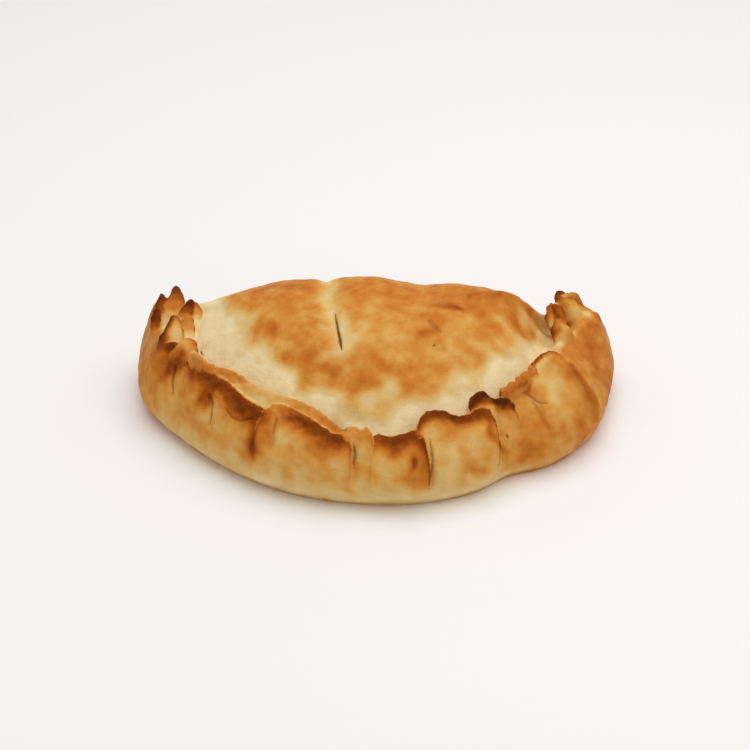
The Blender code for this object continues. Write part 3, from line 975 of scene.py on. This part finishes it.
def fading(distance, reach, power=FADING_POWER):
    """1 at no distance, soft-edged, down to almost nothing at twice the reach."""
    return np.exp(-((distance / reach) ** power))


def round_off(share):
    """A quarter circle from 0 at share 0 up to 1 at share 1 and past it."""
    return np.sqrt(1 - (1 - np.clip(share, 0, 1)) ** 2)


def leaf_sheets(
    root,
    tip,
    half_width,
    brown,
    spread=0.0,
    bow=0.0,
    droop=0.15,
    tip_power=2.4,
    flank=0.0,
    facing=LEAF_FACING,
    dark_tip=LEAF_TIP,
):
    """The upper and lower face of a leaf of dough from its root to its tip, and how far it is browned."""
    root, tip = np.array(root, float), np.array(tip, float)
    axis = tip - root
    side = np.cross(axis, facing)
    side /= np.linalg.norm(side)
    normal = np.cross(side, axis)
    normal /= np.linalg.norm(normal)
    along, across = LEAF_STEPS
    t = np.linspace(0, 1, along)[:, None]
    s = np.linspace(-1, 1, across)[None, :]
    width = (half_width + spread * (1 - t)) * np.maximum(1 - t**tip_power, 0.0) ** LEAF_OUTLINE_POWER
    width = width * round_off((t + LEAF_ROOT_ROUNDING[0]) / LEAF_ROOT_ROUNDING[1]) + LEAF_NARROWEST
    wander = LEAF_WANDER * np.sin(LEAF_WANDER_TURNS * t + root[0]) * t
    middle = root + axis * t[..., None] + side * (s * width + wander)[..., None]
    rise = bow * np.sin(np.pi * t) * (1 - s**2) - droop * width * s**2 * (1 - LEAF_LIFTS * t)
    middle = middle + normal * rise[..., None]
    ends = round_off(np.minimum(t, 1 - t) / LEAF_END_ROUNDING)
    half = np.maximum(LEAF_THICKNESS / 2 * round_off((1 - abs(s)) / LEAF_SIDE_ROUNDING) * ends, THINNEST)
    from_tip = (1 - t) * np.linalg.norm(axis)
    from_side = (1 - abs(s)) * width
    along_side = LEAF_SIDE_BROWN * fading(from_side, LEAF_EDGE) * ease(t, *LEAF_SIDE_FROM)
    rim = 1 - (1 - fading(from_tip, dark_tip)) * (1 - along_side)
    # One flank is darker: partly browning, partly painted shade on the hood's shaded side
    plain = brown[0] + flank * ease(-s, *LEAF_FLANK)
    browned = (plain + (brown[1] - plain) * rim) * ease(t, *LEAF_BROWN_FROM)
    under = half * (1 + LEAF_ROOT_THICKER * (1 - t))
    return middle + normal * half[..., None], middle - normal * under[..., None], browned, browned


def rope_leaves():
    """The root, tip and half width of each twisted ridge between the curl and the right flap."""
    for share in np.linspace(0, 1, ROPE_RIDGES):
        tip = np.array(ROPE_START) * (1 - share) + np.array(ROPE_END) * share
        yield tip + ROPE_LEAN, tip, ROPE_HALF_WIDTH[0] * (1 - share) + ROPE_HALF_WIDTH[1] * share


def grid_faces(rows, columns, first, closed=False, flipped=False):
    """The four-cornered faces between the points of a grid whose first point is number first."""
    number = first + np.arange(rows * columns).reshape(rows, columns)
    if closed:
        number = np.concatenate([number, number[:, :1]], 1)
    faces = np.stack([number[:-1, :-1], number[:-1, 1:], number[1:, 1:], number[1:, :-1]], -1).reshape(-1, 4)
    return faces[:, ::-1] if flipped else faces


def border(rows, columns):
    """The numbers of the points round the edge of a grid, in order."""
    number = np.arange(rows * columns).reshape(rows, columns)
    return np.concatenate([number[0], number[1:-1, -1], number[-1, ::-1], number[-2:0:-1, 0]])


class Soup:
    """Closed shells gathered into one mesh, with how far each point is browned as part of a lip or leaf."""

    def __init__(self):
        self.points, self.browned, self.faces, self.count = [], [], [], 0

    def add_points(self, points, browned=0.0):
        first = self.count
        points = points.reshape(-1, 3)
        self.points.append(points)
        self.browned.append(np.broadcast_to(np.ravel(browned), len(points)))
        self.count += len(points)
        return first

    def add_rings(self, rings):
        steps = rings.shape[1]
        first = self.add_points(rings[:-1])
        self.faces += grid_faces(len(rings) - 1, steps, first, closed=True).tolist()
        top = self.add_points(rings[-1].mean(axis=0)[None])
        last = first + (len(rings) - 2) * steps + np.arange(steps)
        self.faces += [(a, b, top) for a, b in zip(last, np.roll(last, -1))]
        self.faces.append((first + np.arange(steps))[::-1].tolist())

    def add_sheets(self, upper, lower, upper_browned, lower_browned):
        rows, columns = upper.shape[:2]
        shape = (rows, columns)
        first = self.add_points(upper, np.broadcast_to(upper_browned, shape))
        second = self.add_points(lower, np.broadcast_to(lower_browned, shape))
        self.faces += grid_faces(rows, columns, first).tolist()
        self.faces += grid_faces(rows, columns, second, flipped=True).tolist()
        loop = border(rows, columns)
        after = np.roll(loop, -1)
        self.faces += np.stack([first + after, first + loop, second + loop, second + after], -1).tolist()

    def mesh(self, name):
        mesh = bpy.data.meshes.new(name)
        mesh.from_pydata((np.concatenate(self.points) * MM).tolist(), [], self.faces)
        return mesh

    def browned_near(self, points):
        """How far the nearest point of the shells is browned, for each of the given points."""
        own = np.concatenate(self.points)
        tree = KDTree(len(own))
        for i, point in enumerate(own):
            tree.insert(point, i)
        tree.balance()
        nearest = [tree.find(point)[1] for point in points]
        return np.concatenate(self.browned)[nearest]


def all_shells():
    """The body with all its flaps and leaves."""
    soup = Soup()
    soup.add_rings(body_rings())
    for flap in FLAPS.values():
        soup.add_sheets(*flap_sheets(**flap))
    for leaf in LEAVES.values():
        soup.add_sheets(*leaf_sheets(**leaf))
    for root, tip, half_width in rope_leaves():
        soup.add_sheets(*leaf_sheets(root, tip, half_width, ROPE_BROWN, bow=ROPE_BOW, droop=ROPE_DROOP))
    return soup


def fused_crust(soup):
    """The shells fused into one skin and cut flat where it rests."""
    crust = bpy.data.objects.new("crust", soup.mesh("crust"))
    bpy.context.collection.objects.link(crust)
    solid = bmesh.new()
    solid.from_mesh(crust.data)
    bmesh.ops.recalc_face_normals(solid, faces=solid.faces)
    solid.to_mesh(crust.data)
    solid.free()
    settle(crust, "REMESH", mode="VOXEL", voxel_size=FUSING_VOXEL * MM)
    settle(crust, "SMOOTH", factor=0.5, iterations=FUSED_SMOOTHING)
    cut_base(crust.data)
    return crust


def settle(obj, kind, **settings):
    """Give the object's mesh one modifier and keep the result."""
    modifier = obj.modifiers.new(kind.title(), kind)
    for name, value in settings.items():
        setattr(modifier, name, value)
    graph = bpy.context.evaluated_depsgraph_get()
    mesh = bpy.data.meshes.new_from_object(obj.evaluated_get(graph))
    obj.modifiers.clear()
    obj.data = mesh


def cut_base(mesh):
    """Cut the crust flat where it rests."""
    solid = bmesh.new()
    solid.from_mesh(mesh)
    geometry = [*solid.verts, *solid.edges, *solid.faces]
    bmesh.ops.bisect_plane(solid, geom=geometry, plane_co=(0, 0, 0), plane_no=(0, 0, 1), clear_inner=True)
    rim = [edge for edge in solid.edges if edge.is_boundary]
    bmesh.ops.contextual_create(solid, geom=rim)
    bmesh.ops.triangulate(solid, faces=solid.faces)
    bmesh.ops.recalc_face_normals(solid, faces=solid.faces)
    solid.to_mesh(mesh)
    solid.free()


def mesh_points(mesh):
    points = np.empty(len(mesh.vertices) * 3)
    mesh.vertices.foreach_get("co", points)
    return points.reshape(-1, 3) / MM


def mesh_normals(mesh):
    normals = np.empty(len(mesh.vertices) * 3)
    mesh.vertices.foreach_get("normal", normals)
    return normals.reshape(-1, 3)


def mesh_spread(mesh, values, times):
    """Values at the points of a mesh, each drawn halfway to the mean of its neighbours a few times."""
    ends = np.empty(len(mesh.edges) * 2, int)
    mesh.edges.foreach_get("vertices", ends)
    a, b = ends.reshape(-1, 2).T
    count = len(values)
    near = np.maximum(np.bincount(a, minlength=count) + np.bincount(b, minlength=count), 1)
    for _ in range(times):
        total = np.bincount(a, values[b], count) + np.bincount(b, values[a], count)
        values = (values + total / near) / 2
    return values


def lumps(points, size, seed):
    """Smooth random swells of about the given size, with mean 0 and spread 1."""
    dice = np.random.default_rng(seed)
    waves = dice.normal(size=(LUMP_WAVES, points.shape[1]))
    turns = 2 * np.pi / size * dice.uniform(*LUMP_SPREAD, LUMP_WAVES)
    waves *= (turns / np.linalg.norm(waves, axis=1))[:, None]
    start = dice.uniform(0, 2 * np.pi, LUMP_WAVES)
    total = np.zeros(len(points))
    for wave, phase in zip(waves, start):
        total += np.cos(points @ wave + phase)
    return total * math.sqrt(2 / LUMP_WAVES)


def relief(points, size, seed, height):
    """Random swells of a size, this high."""
    return height * lumps(points, size, seed)


def rim_place(points):
    """The angle round the outline, the run along it and the inset from it of each point."""
    fine, run = outline_run()
    fine, run = fine[::NEAREST_EVERY], run[::NEAREST_EVERY]
    edge, out = outline(fine)
    nearest = np.empty(len(points), int)
    for first in range(0, len(points), CHUNK):
        flat = points[first : first + CHUNK, None, :2]
        nearest[first : first + CHUNK] = ((flat - edge) ** 2).sum(-1).argmin(1)
    offset = points[:, :2] - edge[nearest]
    out = out[nearest]
    along = offset[:, 1] * out[:, 0] - offset[:, 0] * out[:, 1]
    total = run[-1]
    length = run[nearest] + along
    return np.interp(np.mod(length, total), run, fine), length, -(offset * out).sum(-1)


def line_gap(flat, line):
    """The distance from a line of points in the plane, and how far along the line from 0 to 1."""
    line = np.array(line, float)
    lengths = np.linalg.norm(np.diff(line, axis=0), axis=1)
    before = np.concatenate([[0], np.cumsum(lengths)])
    gap = np.full(len(flat), np.inf)
    share = np.zeros(len(flat))
    for i, length in enumerate(lengths):
        step = (line[i + 1] - line[i]) / length
        along = np.clip((flat - line[i]) @ step, 0, length)
        away = np.linalg.norm(flat - line[i] - along[:, None] * step, axis=1)
        nearer = away < gap
        gap = np.where(nearer, away, gap)
        share = np.where(nearer, (before[i] + along) / before[-1], share)
    return gap, share


def run_of(angle):
    """How far along the outline an angle lies."""
    fine, run = outline_run()
    return float(np.interp(from_back(angle), fine, run))


def set_value(mesh, name, values):
    attribute = mesh.attributes.new(name, "FLOAT", "POINT")
    attribute.data.foreach_set("value", values.astype(np.float32))


def paint(mesh, soup):
    """Carve the creases, give every point its browning with painted contact shade at the foot, and store the
    painted shade in the creases.
    """
    points, normals = mesh_points(mesh), mesh_normals(mesh)
    angle, length, inset = rim_place(points)
    z = points[:, 2]
    rim = np.interp(from_back(angle), *np.array(RIM_INSET, float).T)
    lips = mesh_spread(mesh, soup.browned_near(points), 1)
    top = ease(inset - rim, *TOP_SETS_IN) * ease(normals[:, 2], *TOP_FACES_UP)
    warp = sum(
        PATCH_WARP * np.stack([lumps(points, size, first), lumps(points, size, second)], -1)
        for size, first, second in PATCH_WARPS
    )
    flat = points[:, :2] + warp
    away = flat - GOLD_CENTRE
    turn = np.degrees(np.arctan2(away[:, 1], away[:, 0]))
    away = np.hypot(*away.T) / curve_value(from_back(turn), GOLD_REACH)
    dome = TOP_GOLD + (TOP_PALE - TOP_GOLD) * ease(away, *GOLD_EDGE)
    for middle, reach, more in TOP_PATCHES:
        dome = dome + more * fading(np.hypot(*((flat - middle) / reach).T), 1)
    gap, share = line_gap(points[:, :2] + GROOVE_WARP * warp, GROOVE)
    dome = dome - GROOVE_PALER * fading(gap, GROOVE_REACH) * (1 - GROOVE_FADES * share)
    side = curve_value(from_back(angle), WALL_BROWNING)
    foot = (1 - ease(z, *WALL_FOOT_HEIGHTS)) * ease(abs(angle - WALL_FOOT_MIDDLE), *WALL_FOOT_ENDS)
    side = side - WALL_FOOT_PALER * frontness(angle) * foot
    # Painted contact shade: the wall is made browner, and so darker, just above the ground
    side = side + WALL_CONTACT_SHADE * (1 - ease(z, *WALL_CONTACT_HEIGHTS))
    wall_flat = np.stack([length, z], -1) + warp * WALL_WARP
    for (at, height), reach, more in WALL_PATCHES:
        middle = (run_of(at), height)
        side = side + more * fading(np.hypot(*((wall_flat - middle) / reach).T), 1)
    brown = side + (dome - side) * top
    for size, seed, strength in BROWN_CLOUDS:
        brown = brown + strength * lumps(points, size, seed)
    brown = np.maximum(brown, 0) * (1 - lips) + lips
    # Painted shade in the creases: each point keeps how dark the nearest crease's shade is
    shade = np.zeros(len(points))
    slit = np.full(len(points), SLIT_FAR)
    sunk = np.zeros(len(points))
    for kind, line, half_width, widest, depth, crease_shade in CREASES:
        if kind == "top":
            gap, share = line_gap(points[:, :2], line)
            here = top
        else:
            line = [(run_of(at), height) for at, height in line]
            gap, share = line_gap(np.stack([length, z], -1), line)
            here = 1 - top
        taper = 1
        if len(line) > 2:
            taper = np.minimum(share / widest, (1 - share) / (1 - widest)) ** CREASE_TAPER_POWER
            taper = taper + CREASE_NARROWEST
        away = gap / (half_width * taper) + SLIT_FAR * (1 - here)
        sunk += depth * fading(away, 1)
        nearer = away < slit
        slit = np.where(nearer, away, slit)
        shade = np.where(nearer, crease_shade, shade)
    grain = relief(points, *GRAIN) + relief(points, *TOP_SWELLS) * top
    grain += relief(points, *TORN) * ease(lips, *TORN_LIPS) * ease(z, *TORN_HEIGHTS)
    points = points + normals * (grain - sunk)[:, None] * ease(z, *BASE_STAYS)[:, None]
    mesh.vertices.foreach_set("co", (points * MM).ravel())
    set_value(mesh, "brown", brown)
    set_value(mesh, "slit", slit)
    set_value(mesh, "shade", shade)
    mesh.update()


def srgb(red, green, blue):
    """A colour for a shader from its 0 to 255 display values."""
    values = np.array([red, green, blue]) / 255
    linear = np.where(values <= 0.04045, values / 12.92, ((values + 0.055) / 1.055) ** 2.4)
    return (*linear, 1.0)


def crust_material():
    """The crust's colour from its browning, with mottling, painted shade in the slits, grain and pores."""
    material = bpy.data.materials.new("baked crust")
    material.use_nodes = True
    nodes, links = material.node_tree.nodes, material.node_tree.links
    shader = nodes["Principled BSDF"]

    def node(kind, inputs=(), **settings):
        made = nodes.new(kind)
        for name, value in settings.items():
            setattr(made, name, value)
        for name, value in dict(inputs).items():
            if hasattr(value, "is_output"):
                links.new(value, made.inputs[name])
            else:
                made.inputs[name].default_value = value
        return made

    place_now = node("ShaderNodeTexCoord").outputs["Object"]

    def noise(scale, detail, roughness):
        inputs = dict(Vector=place_now, Scale=scale, Detail=detail, Roughness=roughness)
        return node("ShaderNodeTexNoise", inputs).outputs["Fac"]

    def sums(first, factor, second):
        """first + factor * second"""
        inputs = {0: second, 1: factor, 2: first}
        return node("ShaderNodeMath", inputs, operation="MULTIPLY_ADD").outputs[0]

    brown = node("ShaderNodeAttribute", attribute_name="brown").outputs["Fac"]
    shade = node("ShaderNodeAttribute", attribute_name="shade").outputs["Fac"]
    mottle = noise(*MOTTLE_NOISE)
    speckle = noise(*SPECKLE_NOISE)
    level = sums(brown, MOTTLED, mottle)
    level = sums(level, SPECKLED, speckle)
    level = sums(-(MOTTLED + SPECKLED) / 2 - PALER, 1.0, level)
    ramp = node("ShaderNodeValToRGB", dict(Fac=level))
    stops = ramp.color_ramp.elements
    stops[0].position, stops[1].position = CRUST_COLOURS[0][0], CRUST_COLOURS[-1][0]
    stops[0].color, stops[1].color = srgb(*CRUST_COLOURS[0][1]), srgb(*CRUST_COLOURS[-1][1])
    for position, colour in CRUST_COLOURS[1:-1]:
        stops.new(position).color = srgb(*colour)
    # Painted shade in the creases: near a slit the crust's colour is multiplied by the crease tint
    slit = node("ShaderNodeAttribute", attribute_name="slit").outputs["Fac"]
    edge = {0: slit, 1: SLIT_EDGE[0], 2: SLIT_EDGE[1], 3: 1.0, 4: 0.0}
    near = node("ShaderNodeMapRange", edge, interpolation_type="SMOOTHSTEP")
    shadow = node("ShaderNodeMath", {0: near.outputs[0], 1: shade}, operation="MULTIPLY")
    mixing = {"Factor": shadow.outputs[0], "A": ramp.outputs["Color"], "B": CREASE_SHADE_TINT}
    crease_shade = node("ShaderNodeMix", mixing, data_type="RGBA", blend_type="MULTIPLY")
    links.new(crease_shade.outputs["Result"], shader.inputs["Base Color"])
    grain = noise(*GRAIN_NOISE)
    pores = noise(*PORE_NOISE)
    height = sums(grain, PORES, pores)
    raised = node("ShaderNodeBump", dict(Strength=BUMP_STRENGTH, Distance=BUMP_DISTANCE, Height=height))
    links.new(raised.outputs["Normal"], shader.inputs["Normal"])
    spread = {0: mottle, 1: ROUGHENING[0], 2: ROUGHENING[1], 3: ROUGHNESS[0], 4: ROUGHNESS[1]}
    links.new(node("ShaderNodeMapRange", spread).outputs[0], shader.inputs["Roughness"])
    shader.inputs["Specular IOR Level"].default_value = SPECULAR
    shader.inputs["Specular Tint"].default_value = GLOSS_TINT
    return material


soup = all_shells()
crust = fused_crust(soup)
paint(crust.data, soup)
settle(crust, "DECIMATE", ratio=min(1, TRIANGLES / len(crust.data.polygons)))
crust.data.shade_smooth()
crust.data.materials.clear()
crust.data.materials.append(crust_material())
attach(crust, "root")
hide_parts("calzone")

floor_mesh = bpy.data.meshes.new("floor")
corners = [(x * FLOOR_HALF, y * FLOOR_HALF, 0) for x, y in ((-1, -1), (1, -1), (1, 1), (-1, 1))]
floor_mesh.from_pydata(corners, [], [(0, 1, 2, 3)])
floor = bpy.data.objects.new("floor", floor_mesh)
bpy.context.collection.objects.link(floor)
floor_material = bpy.data.materials.new("floor")
floor_material.use_nodes = True
floor_shader = floor_material.node_tree.nodes["Principled BSDF"]
floor_shader.inputs["Base Color"].default_value = FLOOR_COLOUR
floor_shader.inputs["Roughness"].default_value = FLOOR_ROUGHNESS
floor_mesh.materials.append(floor_material)

world = bpy.data.worlds.new("studio")
bpy.context.scene.world = world
world.use_nodes = True
world.node_tree.nodes["Background"].inputs["Color"].default_value = (1, 1, 1, 1)
world.node_tree.nodes["Background"].inputs["Strength"].default_value = WORLD_STRENGTH

light = bpy.data.objects.new("softbox", bpy.data.lights.new("softbox", "AREA"))
light.data.shape = "RECTANGLE"
light.data.size, light.data.size_y = SOFTBOX_SIZE
light.data.energy = SOFTBOX_ENERGY
bpy.context.collection.objects.link(light)
light.location = SOFTBOX_PLACE
light.rotation_euler = Vector(SOFTBOX_PLACE).to_track_quat("Z", "Y").to_euler()

camera = bpy.data.objects.new("camera", bpy.data.cameras.new("camera"))
bpy.context.collection.objects.link(camera)
back = Vector((0, -math.cos(CAMERA_ELEVATION), math.sin(CAMERA_ELEVATION)))
camera.location = Vector(CAMERA_AIM) + back * CAMERA_DISTANCE
camera.rotation_euler = back.to_track_quat("Z", "Y").to_euler()
camera.data.lens = CAMERA_LENS
camera.data.sensor_width = CAMERA_SENSOR
camera.data.clip_start = CAMERA_NEAREST
bpy.context.scene.camera = camera
bpy.context.scene.view_settings.view_transform = "Standard"
